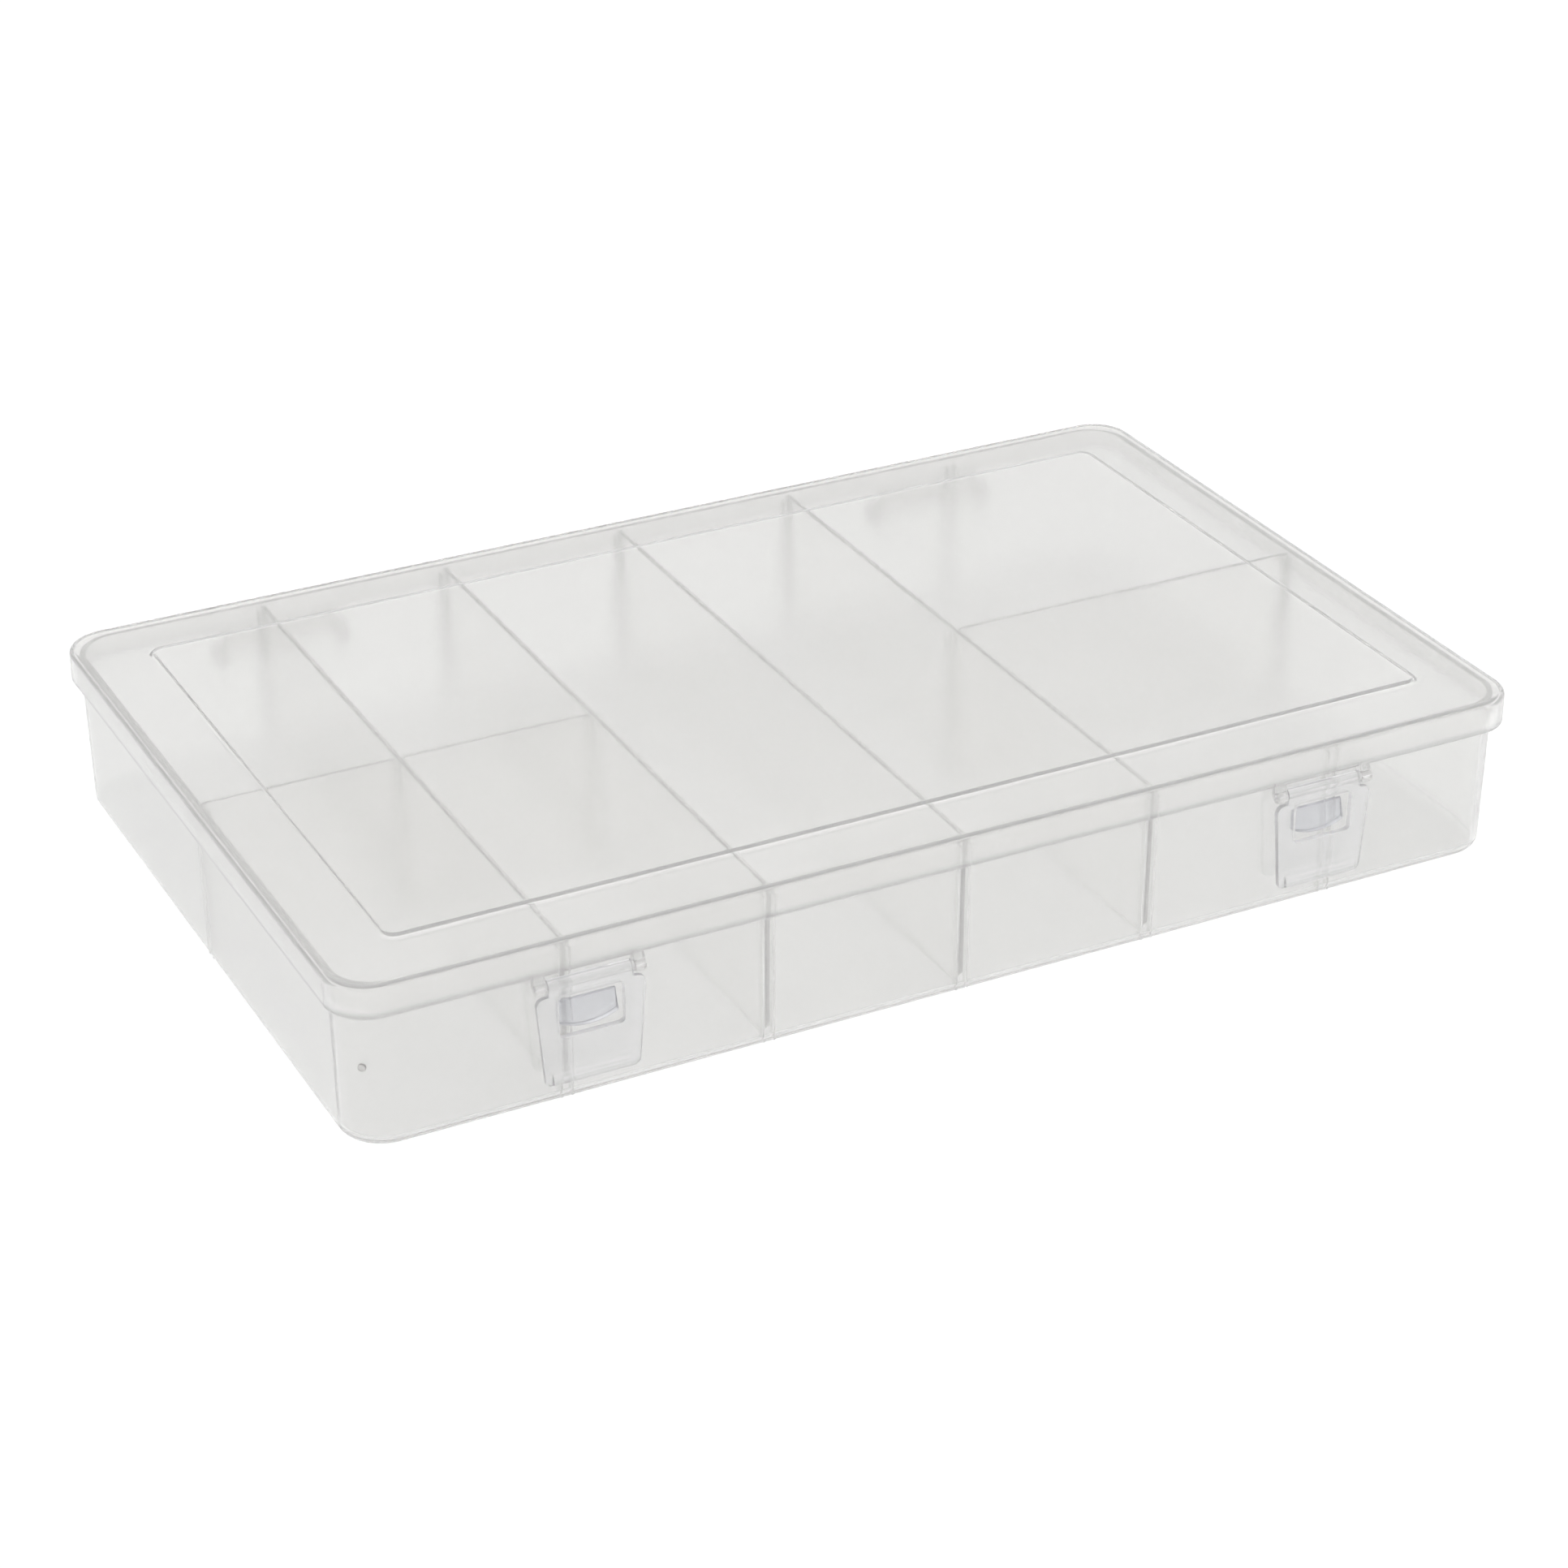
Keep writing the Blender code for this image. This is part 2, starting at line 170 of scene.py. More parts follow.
def closed_shell(profile):
    """One closed skin through rounded rectangles (inset from the outer face, corner radius, Z)."""
    bm = bmesh.new()
    rings = [rounded_ring(bm, *section) for section in profile]
    for near, far in zip(rings, rings[1:]):
        for i in range(len(near)):
            j = (i + 1) % len(near)
            bm.faces.new((near[i], near[j], far[j], far[i]))
    bm.faces.new(reversed(rings[0]))
    bm.faces.new(rings[-1])
    return bm


def soften(bm, radius, segments=2):
    """Rounds every edge sharper than 25 degrees."""
    if radius:
        edges = [e for e in bm.edges if e.is_manifold and e.calc_face_angle() > math.radians(25)]
        bmesh.ops.bevel(bm, geom=edges, offset=radius, segments=segments, profile=0.5,
                        affect="EDGES", clamp_overlap=True)


def merge(target, source):
    mesh = bpy.data.meshes.new("merge")
    source.to_mesh(mesh)
    source.free()
    target.from_mesh(mesh)
    bpy.data.meshes.remove(mesh)


def add_box(target, low, high, radius=0.0):
    bm = bmesh.new()
    size = [b - a for a, b in zip(low, high)]
    middle = [(a + b) / 2 for a, b in zip(low, high)]
    bmesh.ops.create_cube(bm, size=1, matrix=Matrix.Translation(middle) @ Matrix.Diagonal((*size, 1)))
    soften(bm, radius)
    merge(target, bm)


def add_rod(target, radius, low, high, y, z, segments=40, soft=0.0):
    """A round rod along X."""
    bm = bmesh.new()
    place = Matrix.Translation(((low + high) / 2, y, z)) @ Matrix.Rotation(math.pi / 2, 4, "Y")
    bmesh.ops.create_cone(bm, cap_ends=True, segments=segments, radius1=radius, radius2=radius,
                          depth=high - low, matrix=place)
    soften(bm, soft)
    merge(target, bm)


def add_prism(target, outline, low, high, axis, radius=0.0, segments=2):
    """A flat outline pushed from low to high along X or Y; it is given as (Y, Z) or (X, Z)."""
    def corner(a, b, along):
        return (along, a, b) if axis == "X" else (a, along, b)

    bm = bmesh.new()
    face = bm.faces.new([bm.verts.new(corner(a, b, low)) for a, b in outline])
    pushed = bmesh.ops.extrude_face_region(bm, geom=[face])["geom"]
    verts = [v for v in pushed if isinstance(v, bmesh.types.BMVert)]
    bmesh.ops.translate(bm, verts=verts, vec=corner(0, 0, high - low))
    bmesh.ops.recalc_face_normals(bm, faces=bm.faces)
    soften(bm, radius, segments)
    merge(target, bm)


def plain_object(name, bm):
    mesh = bpy.data.meshes.new(name)
    bm.to_mesh(mesh)
    bm.free()
    obj = bpy.data.objects.new(name, mesh)
    bpy.context.scene.collection.objects.link(obj)
    return obj


def finished_piece(name, bm, material, body, node, joins=(), cuts=()):
    """Joins and cuts the shapes, shades them, and sets the result on its body, in place of its node
    where it has one."""
    obj = plain_object(name, bm)
    tools = []
    for shapes, operation in ((joins, "UNION"), (cuts, "DIFFERENCE")):
        for shape in shapes:
            tool = plain_object(f"{name}_tool", shape)
            modifier = obj.modifiers.new("shape", "BOOLEAN")
            modifier.operation = operation
            modifier.solver = "EXACT"
            modifier.object = tool
            tools.append(tool)
    evaluated = obj.evaluated_get(bpy.context.evaluated_depsgraph_get())
    mesh = bpy.data.meshes.new_from_object(evaluated)
    obj.modifiers.clear()
    obj.data = mesh
    for tool in tools:
        bpy.data.objects.remove(tool, do_unlink=True)
    mesh.shade_smooth()
    mesh.set_sharp_from_angle(angle=SHARP_ANGLE)
    weighted = obj.modifiers.new("normals", "WEIGHTED_NORMAL")
    weighted.keep_sharp = True
    mesh.materials.clear()
    mesh.materials.append(material)
    if node:
        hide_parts(node)
    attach(obj, body)


# ---------------------------------------------------------------- materials

def clear_plastic(name, colour, haze_colour, roughness, clarity, seed):
    """Clear, slightly milky plastic: faint flow marks in the tint, fine rubbed scratches in
    the gloss, and the slow ripple of a moulded wall."""
    material = bpy.data.materials.new(name)
    material.use_nodes = True
    nodes, links = material.node_tree.nodes, material.node_tree.links
    shader = nodes["Principled BSDF"]
    shader.inputs["Transmission Weight"].default_value = clarity
    shader.inputs["IOR"].default_value = 1.49

    place = nodes.new("ShaderNodeTexCoord")
    shift = nodes.new("ShaderNodeMapping")
    shift.inputs["Location"].default_value = (seed, seed * 0.7, seed * 0.3)
    links.new(place.outputs["Object"], shift.inputs["Vector"])

    flow = nodes.new("ShaderNodeTexNoise")
    flow.inputs["Scale"].default_value = 14
    flow.inputs["Detail"].default_value = 3
    flow.inputs["Distortion"].default_value = 0.8
    links.new(shift.outputs["Vector"], flow.inputs["Vector"])
    tint = nodes.new("ShaderNodeMix")
    tint.name = "tint"
    tint.data_type = "RGBA"
    tint.inputs["A"].default_value = (*colour, 1)
    tint.inputs["B"].default_value = (*haze_colour, 1)
    links.new(flow.outputs["Fac"], tint.inputs["Factor"])
    links.new(tint.outputs["Result"], shader.inputs["Base Color"])

    stretch = nodes.new("ShaderNodeMapping")
    stretch.inputs["Scale"].default_value = (1, 9, 9)
    stretch.inputs["Rotation"].default_value = (0, 0, math.radians(24 + 40 * seed))
    links.new(shift.outputs["Vector"], stretch.inputs["Vector"])
    rubbed = nodes.new("ShaderNodeTexNoise")
    rubbed.inputs["Scale"].default_value = 90
    rubbed.inputs["Detail"].default_value = 6
    rubbed.inputs["Roughness"].default_value = 0.65
    links.new(stretch.outputs["Vector"], rubbed.inputs["Vector"])
    gloss = nodes.new("ShaderNodeMapRange")
    gloss.name = "gloss"
    gloss.inputs["From Min"].default_value = 0.35
    gloss.inputs["From Max"].default_value = 0.75
    gloss.inputs["To Min"].default_value = roughness * 0.94
    gloss.inputs["To Max"].default_value = roughness * 1.12
    links.new(rubbed.outputs["Fac"], gloss.inputs["Value"])
    links.new(gloss.outputs["Result"], shader.inputs["Roughness"])

    ripple = nodes.new("ShaderNodeTexNoise")
    ripple.inputs["Scale"].default_value = 38
    ripple.inputs["Detail"].default_value = 1
    links.new(shift.outputs["Vector"], ripple.inputs["Vector"])
    bump = nodes.new("ShaderNodeBump")
    bump.inputs["Strength"].default_value = 0.5
    bump.inputs["Distance"].default_value = 0.05 * MM
    links.new(ripple.outputs["Fac"], bump.inputs["Height"])
    links.new(bump.outputs["Normal"], shader.inputs["Normal"])

    absorb = nodes.new("ShaderNodeVolumeAbsorption")
    absorb.inputs["Color"].default_value = (0.80, 0.80, 0.78, 1)
    absorb.inputs["Density"].default_value = 0.5
    links.new(absorb.outputs["Volume"], nodes["Material Output"].inputs["Volume"])
    return material


def frost_border_and_paint_hem_shade(material, clarity, border_clarity, border_roughness, hem_painted_shade):
    """The lid's border and skirt are hazier than its panel. A dark band of painted shade runs along the
    skirt's hem, standing in for the dark line that the clear edge shows under light.
    """
    nodes, links = material.node_tree.nodes, material.node_tree.links
    shader, gloss = nodes["Principled BSDF"], nodes["gloss"]

    def math_node(operation, *values):
        node = nodes.new("ShaderNodeMath")
        node.operation = operation
        for socket, value in zip(node.inputs, values):
            if isinstance(value, (int, float)):
                socket.default_value = value
            else:
                links.new(value, socket)
        return node.outputs["Value"]

    place = nodes.new("ShaderNodeTexCoord")
    split = nodes.new("ShaderNodeSeparateXYZ")
    links.new(place.outputs["Object"], split.inputs["Vector"])
    across = math_node("SUBTRACT", math_node("ABSOLUTE", split.outputs["X"]), LID_HALF_X - PANEL_INSET)
    deep = math_node("ABSOLUTE", math_node("SUBTRACT", split.outputs["Y"], MID_Y))
    deep = math_node("SUBTRACT", deep, LID_HALF_Y - PANEL_INSET)
    outside = math_node("MAXIMUM", across, deep)
    for socket, panel_value, border_value in (
            ("Transmission Weight", clarity, border_clarity), ("Roughness", None, border_roughness)):
        mask = nodes.new("ShaderNodeMapRange")
        mask.inputs["From Min"].default_value = -PANEL_SLOPE
        mask.inputs["From Max"].default_value = 0
        mask.inputs["To Max"].default_value = border_value
        links.new(outside, mask.inputs["Value"])
        if panel_value is None:
            links.new(gloss.outputs["Result"], mask.inputs["To Min"])
        else:
            mask.inputs["To Min"].default_value = panel_value
        links.new(mask.outputs["Result"], shader.inputs[socket])

    # Painted shade: the base colour darkens to the hem's shade colour in a band along the skirt's lower
    # edge, where the clear edge shows a dark line
    middle = BORDER_TOP - SKIRT + PAINTED_HEM_SHADE_HEIGHT / 2
    away = math_node("ABSOLUTE", math_node("SUBTRACT", split.outputs["Z"], middle))
    above = nodes.new("ShaderNodeMapRange")
    above.inputs["From Min"].default_value = PAINTED_HEM_SHADE_HEIGHT / 2
    above.inputs["From Max"].default_value = PAINTED_HEM_SHADE_HEIGHT / 2 + PAINTED_HEM_SHADE_FADE
    links.new(away, above.inputs["Value"])
    hem = nodes.new("ShaderNodeMix")
    hem.data_type = "RGBA"
    hem.inputs["A"].default_value = (*hem_painted_shade, 1)
    links.new(above.outputs["Result"], hem.inputs["Factor"])
    links.new(nodes["tint"].outputs["Result"], hem.inputs["B"])
    links.new(hem.outputs["Result"], shader.inputs["Base Color"])


def frost_foot(material, clarity, foot_clarity):
    """The tray's rounded foot is hazier than its walls."""
    nodes, links = material.node_tree.nodes, material.node_tree.links
    place = nodes.new("ShaderNodeTexCoord")
    split = nodes.new("ShaderNodeSeparateXYZ")
    links.new(place.outputs["Object"], split.inputs["Vector"])
    mask = nodes.new("ShaderNodeMapRange")
    mask.inputs["From Min"].default_value = TRAY_EDGE / 2
    mask.inputs["From Max"].default_value = TRAY_EDGE
    mask.inputs["To Min"].default_value = foot_clarity
    mask.inputs["To Max"].default_value = clarity
    links.new(split.outputs["Z"], mask.inputs["Value"])
    links.new(mask.outputs["Result"], nodes["Principled BSDF"].inputs["Transmission Weight"])


def floor_material():
    """White acrylic lit from below, as on a product photographer's light table."""
    material = bpy.data.materials.new("studio_floor")
    material.use_nodes = True
    shader = material.node_tree.nodes["Principled BSDF"]
    shader.inputs["Base Color"].default_value = (0.2, 0.2, 0.2, 1)
    shader.inputs["Emission Color"].default_value = (1, 1, 1, 1)
    shader.inputs["Emission Strength"].default_value = 0.87
    shader.inputs["Roughness"].default_value = 0.9
    shader.inputs["Specular IOR Level"].default_value = 0.1
    return material


# ---------------------------------------------------------------- tray

def divider_x(place):
    return (place - COLUMNS / 2) * PITCH


def guide_offsets():
    near = DIVIDER_WALL / 2 + FIT
    return (-near - GUIDE_WALL, -near), (near, near + GUIDE_WALL)


def tray_shell():
    """From the underside up the outer wall, over the rim and down to the floor inside."""
    foot_x, foot_y = TRAY_HALF_X - TRAY_DRAFT, TRAY_HALF_Y - TRAY_DRAFT
    outer, inner = [], []
    inner_edge = TRAY_EDGE - TRAY_WALL
    for step in range(EDGE_STEPS + 1):
        angle = math.radians(90 * step / EDGE_STEPS)
        back, rise = 1 - math.sin(angle), 1 - math.cos(angle)
        inset = TRAY_EDGE * back
        outer.append((foot_x - inset, foot_y - inset, TRAY_CORNER - inset, TRAY_EDGE * rise))
        inset = TRAY_WALL + inner_edge * back
        inner.append((foot_x - inset, foot_y - inset, TRAY_CORNER - inset,
                      TRAY_WALL + inner_edge * rise))
    rim = []
    for centre, start in ((RIM_SOFT, 0), (TRAY_WALL - RIM_SOFT, 90)):
        for inset, z in arc((-centre, TRAY_TOP - RIM_SOFT), RIM_SOFT, start, start + 90, 3):
            rim.append((TRAY_HALF_X + inset, TRAY_HALF_Y + inset, TRAY_CORNER + inset, z))
    return closed_shell(outer + rim + inner[::-1])


def tray_guides():
    floor = TRAY_WALL - EMBED
    wall_y = INSIDE_HALF_Y + EMBED
    tip_y = INSIDE_HALF_Y - GUIDE_DEPTH - TRAY_DRAFT
    wall_x = INSIDE_HALF_X + EMBED
    tip_x = INSIDE_HALF_X - GUIDE_DEPTH - TRAY_DRAFT
    soft = 0.25 * MM
    bm = bmesh.new()
    for place in range(1, COLUMNS):
        for near, far in guide_offsets():
            low_x, high_x = divider_x(place) + near, divider_x(place) + far
            add_box(bm, (low_x, MID_Y - wall_y, floor), (high_x, MID_Y - tip_y, GUIDE_TOP), soft)
            add_box(bm, (low_x, MID_Y + tip_y, floor), (high_x, MID_Y + wall_y, GUIDE_TOP), soft)
    for near, far in guide_offsets():
        add_box(bm, (-wall_x, MID_Y + near, floor), (-tip_x, MID_Y + far, GUIDE_TOP), soft)
        add_box(bm, (tip_x, MID_Y + near, floor), (wall_x, MID_Y + far, GUIDE_TOP), soft)
    return bm


def hinge_ears():
    root = MID_Y + TRAY_HALF_Y - TRAY_WALL / 2
    outline = [(root, HINGE_Z + EAR_RADIUS)]
    outline += arc((HINGE_Y, HINGE_Z), EAR_RADIUS, 90, -90, 16)
    outline += [(root, HINGE_Z - EAR_RADIUS)]
    ears, holes = bmesh.new(), bmesh.new()
    near = KNUCKLE_HALF + FIT
    far = near + EAR_WIDTH
    for side in (-1, 1):
        middle = side * HINGE_X
        add_prism(ears, outline, middle - far, middle - near, "X", 0.3 * MM)
        add_prism(ears, outline, middle + near, middle + far, "X", 0.3 * MM)
        add_rod(holes, HINGE_PIN + PIN_GAP, middle - far - EMBED, middle + far + EMBED, HINGE_Y, HINGE_Z)
    return ears, holes


def mould_dot():
    """The small round mark on the front left corner."""
    angle = math.radians(DOT_ANGLE)
    outward = Vector((math.cos(angle), math.sin(angle), 0))
    reach = TRAY_CORNER + TRAY_DRAFT / 2
    centre = Vector((reach - TRAY_HALF_X, MID_Y + reach - TRAY_HALF_Y, DOT_HEIGHT))
    turn = outward.to_track_quat("Z", "Y").to_matrix().to_4x4()
    bm = bmesh.new()
    bmesh.ops.create_cone(bm, cap_ends=True, segments=24, radius1=DOT_RADIUS, radius2=DOT_RADIUS,
                          depth=DOT_DEPTH,
                          matrix=Matrix.Translation(centre + outward * TRAY_CORNER) @ turn)
    soften(bm, 0.15 * MM)
    return bm


def build_catch(side, name, material):
    """The tray's catch seen through the latch's window: a wedge with a bowed lower edge."""
    wall = MID_Y - TRAY_HALF_Y + TRAY_DRAFT
    nose = LATCH_Y + LATCH_BACK + FIT
    middle = side * LATCH_X
    outline = [(middle - CATCH_HALF, CATCH_TOP)]
    for step in range(CATCH_STEPS + 1):
        along = 2 * step / CATCH_STEPS - 1
        outline.append((middle + along * CATCH_HALF, CATCH_FOOT + CATCH_BOW * along * along))
    outline.append((middle + CATCH_HALF, CATCH_TOP))
    bm = bmesh.new()
    add_prism(bm, outline, nose, wall, "Y", 0.3 * MM, 3)
    for vert in bm.verts:
        if vert.co.z > CATCH_NOSE and vert.co.y < wall - EMBED:
            vert.co.y += (vert.co.z - CATCH_NOSE) * CATCH_SLOPE
    finished_piece(name, bm, material, "tray", None)


def build_tray(material):
    ears, holes = hinge_ears()
    finished_piece("tray_shell", tray_shell(), material, "tray", "tray",
                   joins=(tray_guides(), ears), cuts=(holes,))


# ---------------------------------------------------------------- dividers

def build_long_divider(place, material):
    x = divider_x(place)
    top, foot = INSIDE_HALF_Y - FIT, INSIDE_HALF_Y - TRAY_DRAFT - FIT
    floor = TRAY_WALL + FIT
    right = [(foot - TRAY_EDGE, floor), (foot, floor + TRAY_EDGE), (top, DIVIDER_TOP)]
    outline = [(MID_Y + y, z) for y, z in right] + [(MID_Y - y, z) for y, z in reversed(right)]
    bm = bmesh.new()
    add_prism(bm, outline, x - DIVIDER_WALL / 2, x + DIVIDER_WALL / 2, "X", 0.35 * MM, 3)
    joins = ()
    if place in SLOTTED_DIVIDERS:
        ribs = bmesh.new()
        reach = DIVIDER_WALL / 2 + CROSS_GUIDE_DEPTH
        for near, far in guide_offsets():
            add_box(ribs, (x - reach, MID_Y + near, floor + FIT), (x + reach, MID_Y + far, GUIDE_TOP),
                    0.25 * MM)
        joins = (ribs,)
    finished_piece(f"long_divider_{place}", bm, material, "tray", f"divider_{place}",
                   joins=joins)


def build_cross_divider(number, first, last, material):
    floor = TRAY_WALL + FIT
    clear = DIVIDER_WALL / 2 + FIT
    low, high = divider_x(first) + clear, divider_x(last) - clear
    outline = []
    if first == 0:
        foot = low + TRAY_DRAFT
        outline += [(foot, floor + TRAY_EDGE), (foot + TRAY_EDGE, floor)]
    else:
        outline += [(low, floor)]
    if last == COLUMNS:
        foot = high - TRAY_DRAFT
        outline += [(foot - TRAY_EDGE, floor), (foot, floor + TRAY_EDGE)]
    else:
        outline += [(high, floor)]
    outline += [(high, DIVIDER_TOP), (low, DIVIDER_TOP)]
    bm = bmesh.new()
    add_prism(bm, outline, MID_Y - DIVIDER_WALL / 2, MID_Y + DIVIDER_WALL / 2, "Y", 0.35 * MM, 3)
    finished_piece(f"short_divider_{number}", bm, material, "tray", f"cross_divider_{number}")


# ---------------------------------------------------------------- lid

def lid_shell():
    """From the middle of the underside out, round the skirt's lower edge, and over the top."""
    def section(inset, z, corner):
        return (LID_HALF_X - inset, LID_HALF_Y - inset, corner, z)

    def skin(depth):
        """Panel edge and top edge of the lid's face, seen from the panel outwards."""
        top = BORDER_TOP - depth
        edge = LID_EDGE - depth
        for along, rise in PANEL_STEP:
            inset = along * PANEL_SLOPE
            yield section(PANEL_INSET + inset, top + rise * PANEL_RISE, PANEL_CORNER - inset)
        for step in range(EDGE_STEPS + 1):
            angle = math.radians(90 * step / EDGE_STEPS)
            inset = LID_EDGE - edge * math.sin(angle)
            yield section(inset, BORDER_TOP - LID_EDGE + edge * math.cos(angle), LID_CORNER - inset)

    foot = BORDER_TOP - SKIRT
    hem = []
    for centre, start in ((LID_WALL - HEM_SOFT, 180), (HEM_SOFT, 270)):
        for inset, z in arc((-centre, foot + HEM_SOFT), HEM_SOFT, start, start + 90, 5):
            hem.append(section(-inset, z, LID_CORNER + inset))
    return closed_shell(list(skin(LID_WALL)) + hem + list(skin(0))[::-1])


def hinge_knuckles():
    outline = list(arc((HINGE_Y, HINGE_Z), KNUCKLE_RADIUS, 45, -180, 20))
    skirt = MID_Y + LID_HALF_Y - LID_WALL / 2
    outline += [(HINGE_Y - KNUCKLE_RADIUS, KNUCKLE_ROOT[0]), (skirt, KNUCKLE_ROOT[1])]
    knuckles, pins = bmesh.new(), bmesh.new()
    tip = KNUCKLE_HALF + FIT + EAR_WIDTH
    for side in (-1, 1):
        middle = side * HINGE_X
        add_prism(knuckles, outline, middle - KNUCKLE_HALF, middle + KNUCKLE_HALF, "X", 0.3 * MM)
        add_rod(pins, HINGE_PIN, middle - tip, middle + tip, HINGE_Y, HINGE_Z, soft=0.2 * MM)
    return knuckles, pins


def latch_lugs():
    outline = list(arc((LATCH_Y, LATCH_Z), LUG_RADIUS, 180, 360, 16))
    outline += [(LATCH_Y + LUG_RADIUS, LUG_ROOT[0]), (LATCH_Y + LUG_RADIUS - LUG_LEAN, LUG_ROOT[1])]
    lugs, holes = bmesh.new(), bmesh.new()
    near = NECK_HALF + FIT
    far = near + LUG_WIDTH
    for side in (-1, 1):
        middle = side * LATCH_X
        add_prism(lugs, outline, middle - far, middle - near, "X", 0.3 * MM)
        add_prism(lugs, outline, middle + near, middle + far, "X", 0.3 * MM)
        add_rod(holes, LATCH_PIN + PIN_GAP, middle - far - EMBED, middle + far + EMBED,
                LATCH_Y, LATCH_Z, 24)
    return lugs, holes


def build_lid(material):
    knuckles, pins = hinge_knuckles()
    lugs, holes = latch_lugs()
    finished_piece("lid_shell", lid_shell(), material, "lid", "lid",
                   joins=(knuckles, pins, lugs), cuts=(holes,))


# ---------------------------------------------------------------- latches

def latch_plate(x, y, z):
    shoulder = z - LUG_RADIUS - FIT - 0.3 * MM
    foot = z + LATCH_FOOT
    top_radius, foot_radius = 2 * MM, 1.5 * MM
    right = [(NECK_HALF, z), (NECK_HALF, shoulder)]
    right += arc((LATCH_TOP_HALF - top_radius, shoulder - top_radius), top_radius, 90, 0, 8)
    right += arc((LATCH_FOOT_HALF - foot_radius, foot + foot_radius), foot_radius, 0, -90, 8)
    outline = [(x + a, b) for a, b in right] + [(x - a, b) for a, b in reversed(right)]
    back = y + LATCH_BACK
    bm = bmesh.new()
    add_prism(bm, outline, back - LATCH_WALL, back, "Y", 0.3 * MM)
    return bm


def latch_window(x, y):
    radius = 1.2 * MM
    outline = []
    for side, level, start in ((1, WINDOW_LOW, -90), (1, WINDOW_HIGH, 0),
                               (-1, WINDOW_HIGH, 90), (-1, WINDOW_LOW, 180)):
        centre = (x + side * (WINDOW_HALF - radius),
                  level + (radius if level == WINDOW_LOW else -radius))
        outline += arc(centre, radius, start, start + 90, 6)
    bm = bmesh.new()
    add_prism(bm, outline, y - 5 * MM, y + 5 * MM, "Y")
    return bm


def latch_lip(x, y, z):
    """The finger lip along the foot, with a hollow face above it."""
    front = y + LATCH_BACK - LATCH_WALL
    tip = LATCH_LOW.y
    foot = z + LATCH_FOOT
    outline = [(front + EMBED, foot + 0.2 * MM), (tip, foot + 0.6 * MM), (tip, foot + 1.6 * MM),
               (front + EMBED, foot + 5 * MM)]
    half = LATCH_FOOT_HALF - 1.5 * MM
    bm = bmesh.new()
    add_prism(bm, outline, x - half, x + half, "X", 0.25 * MM)
    return bm


def build_latch(side, node, material):
    x, y, z = side * LATCH_X, LATCH_Y, LATCH_Z
    barrel, pin = bmesh.new(), bmesh.new()
    pin_half = NECK_HALF + FIT + LUG_WIDTH - 0.1 * MM
    add_rod(barrel, BARREL_RADIUS, x - NECK_HALF, x + NECK_HALF, y, z, soft=0.2 * MM)
    add_rod(pin, LATCH_PIN, x - pin_half, x + pin_half, y, z, 24, soft=0.15 * MM)
    finished_piece(f"{node}_clip", latch_plate(x, y, z), material, node, node,
                   joins=(barrel, pin, latch_lip(x, y, z)), cuts=(latch_window(x, y),))


# ---------------------------------------------------------------- studio

CAMERA_PLACE = (-0.3638, -0.7253, 0.4453)
CAMERA_AZIMUTH = math.radians(-26.74)
CAMERA_ELEVATION = math.radians(28.25)
CAMERA_ROLL = math.radians(-0.28)
CAMERA_LENS = 89.1
FLOOR_HALF = 60
FLOOR_DROP = 0.3 * MM
SOFTBOX_PLACE = (0.3, 0.7, 1.9)
SOFTBOX_SIZE = (2.4, 2.0)
SOFTBOX_POWER = 12


def add_camera():
    forward = Vector((-math.sin(CAMERA_AZIMUTH) * math.cos(CAMERA_ELEVATION),
                      math.cos(CAMERA_AZIMUTH) * math.cos(CAMERA_ELEVATION),
                      -math.sin(CAMERA_ELEVATION)))
    right = forward.cross(Vector((0, 0, 1))).normalized()
    up = right.cross(forward)
    turn = Matrix((right, up, -forward)).transposed().to_4x4()
    data = bpy.data.cameras.new("camera")
    data.lens = CAMERA_LENS
    camera = bpy.data.objects.new("camera", data)
    camera.matrix_world = (Matrix.Translation(CAMERA_PLACE) @ turn
                           @ Matrix.Rotation(CAMERA_ROLL, 4, "Z"))
    bpy.context.scene.collection.objects.link(camera)
    bpy.context.scene.camera = camera


def add_floor():
    bm = bmesh.new()
    bmesh.ops.create_grid(bm, x_segments=1, y_segments=1, size=FLOOR_HALF)
    floor = plain_object("studio_floor", bm)
    floor.location.z = -FLOOR_DROP
    floor.data.materials.append(floor_material())


def add_world():
    """A white studio, a little dimmer near the horizon than overhead."""
    world = bpy.data.worlds.new("studio")
    world.use_nodes = True
    nodes, links = world.node_tree.nodes, world.node_tree.links
    place = nodes.new("ShaderNodeTexCoord")
    split = nodes.new("ShaderNodeSeparateXYZ")
    links.new(place.outputs["Generated"], split.inputs["Vector"])
    ramp = nodes.new("ShaderNodeValToRGB")
    ramp.color_ramp.elements[0].position = 0.0
    ramp.color_ramp.elements[0].color = (0.64, 0.64, 0.64, 1)
    ramp.color_ramp.elements[1].position = 0.6
    ramp.color_ramp.elements[1].color = (0.76, 0.76, 0.76, 1)
    links.new(split.outputs["Z"], ramp.inputs["Fac"])
    background = nodes["Background"]
    links.new(ramp.outputs["Color"], background.inputs["Color"])
    background.inputs["Strength"].default_value = 1.0
    bpy.context.scene.world = world


def add_softbox(name, place, target, size, power):
    data = bpy.data.lights.new(name, "AREA")
    data.shape = "RECTANGLE"
    data.size, data.size_y = size
    data.energy = power
    light = bpy.data.objects.new(name, data)
    light.location = place
    light.rotation_euler = (Vector(target) - Vector(place)).to_track_quat("-Z", "Y").to_euler()
    bpy.context.scene.collection.objects.link(light)


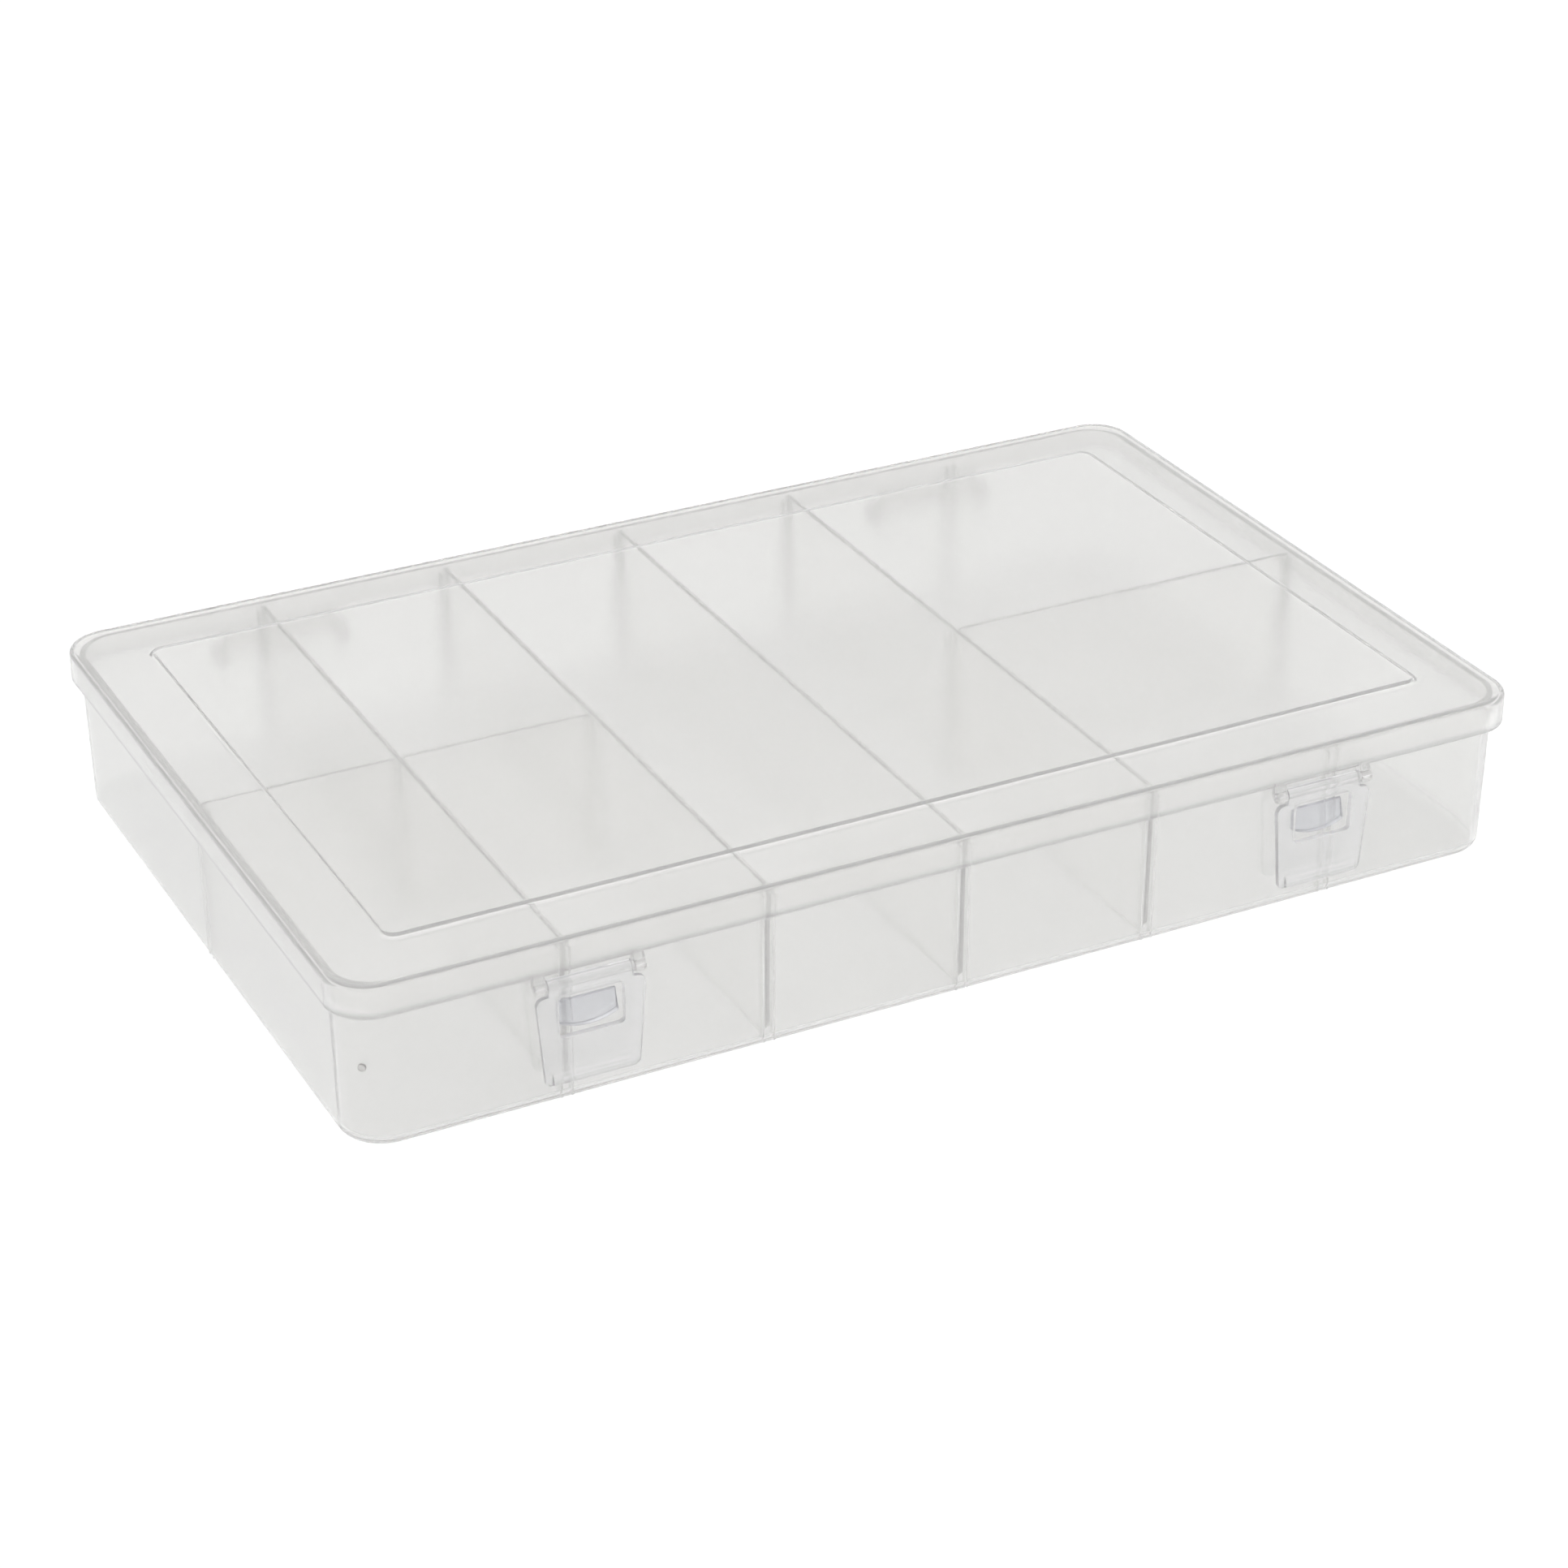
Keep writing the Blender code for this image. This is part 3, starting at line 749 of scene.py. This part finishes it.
def set_up_studio():
    add_camera()
    add_floor()
    add_world()
    add_softbox("overhead_softbox", SOFTBOX_PLACE, (0, 0, 0), SOFTBOX_SIZE, SOFTBOX_POWER)
    scene = bpy.context.scene
    scene.view_settings.view_transform = "Standard"
    # Light crosses many walls before it leaves the box.
    scene.cycles.max_bounces = 100
    scene.cycles.transmission_bounces = 100
    scene.cycles.glossy_bounces = 80
    scene.cycles.diffuse_bounces = 40
    # Filter Glossy would swallow most of the light that goes through clear walls to the floor.
    scene.cycles.blur_glossy = 0


# ---------------------------------------------------------------- build

TRAY_CLARITY = 0.86
LID_CLARITY = 0.91

tray_plastic = clear_plastic("tray_plastic", (0.944, 0.943, 0.938), (0.924, 0.923, 0.916),
                             roughness=0.14, clarity=TRAY_CLARITY, seed=0.1)
frost_foot(tray_plastic, TRAY_CLARITY, foot_clarity=0.68)
lid_plastic = clear_plastic("lid_plastic", (0.993, 0.991, 0.985), (0.982, 0.979, 0.972),
                            roughness=0.175, clarity=LID_CLARITY, seed=0.4)
# The hem colour is painted shade along the skirt's lower edge
frost_border_and_paint_hem_shade(lid_plastic, LID_CLARITY, border_clarity=0.85, border_roughness=0.19,
             hem_painted_shade=(0.82, 0.82, 0.82))
divider_plastic = clear_plastic("divider_plastic", (0.996, 0.995, 0.99), (0.985, 0.983, 0.977),
                                roughness=0.13, clarity=0.97, seed=0.7)
latch_plastic = clear_plastic("latch_plastic", (0.955, 0.955, 0.96), (0.935, 0.935, 0.94),
                              roughness=0.13, clarity=0.87, seed=0.9)
pip_plastic = clear_plastic("pip_plastic", (0.84, 0.83, 0.82), (0.80, 0.79, 0.78),
                            roughness=0.14, clarity=0.75, seed=0.2)
# The catch is moulded in the tray's plastic. Its darker bluish tint is painted shade with a painted
# bluish sky reflection, standing in for the blue-grey band seen through the latch's window.
catch_plastic = clear_plastic("catch_plastic", (0.93, 0.938, 0.97), (0.905, 0.915, 0.95),
                              roughness=0.13, clarity=0.87, seed=0.3)

build_tray(tray_plastic)
for taken in (1, 2, 3, 4):
    build_long_divider(taken, divider_plastic)
for count, (left, right) in enumerate(CROSS_SPANS, start=1):
    build_cross_divider(count, left, right, divider_plastic)
build_lid(lid_plastic)
finished_piece("mould_pip", mould_dot(), pip_plastic, "tray", None)
build_catch(-1, "left_catch", catch_plastic)
build_catch(1, "right_catch", catch_plastic)
build_latch(-1, "latch_left", latch_plastic)
build_latch(1, "latch_right", latch_plastic)
set_up_studio()
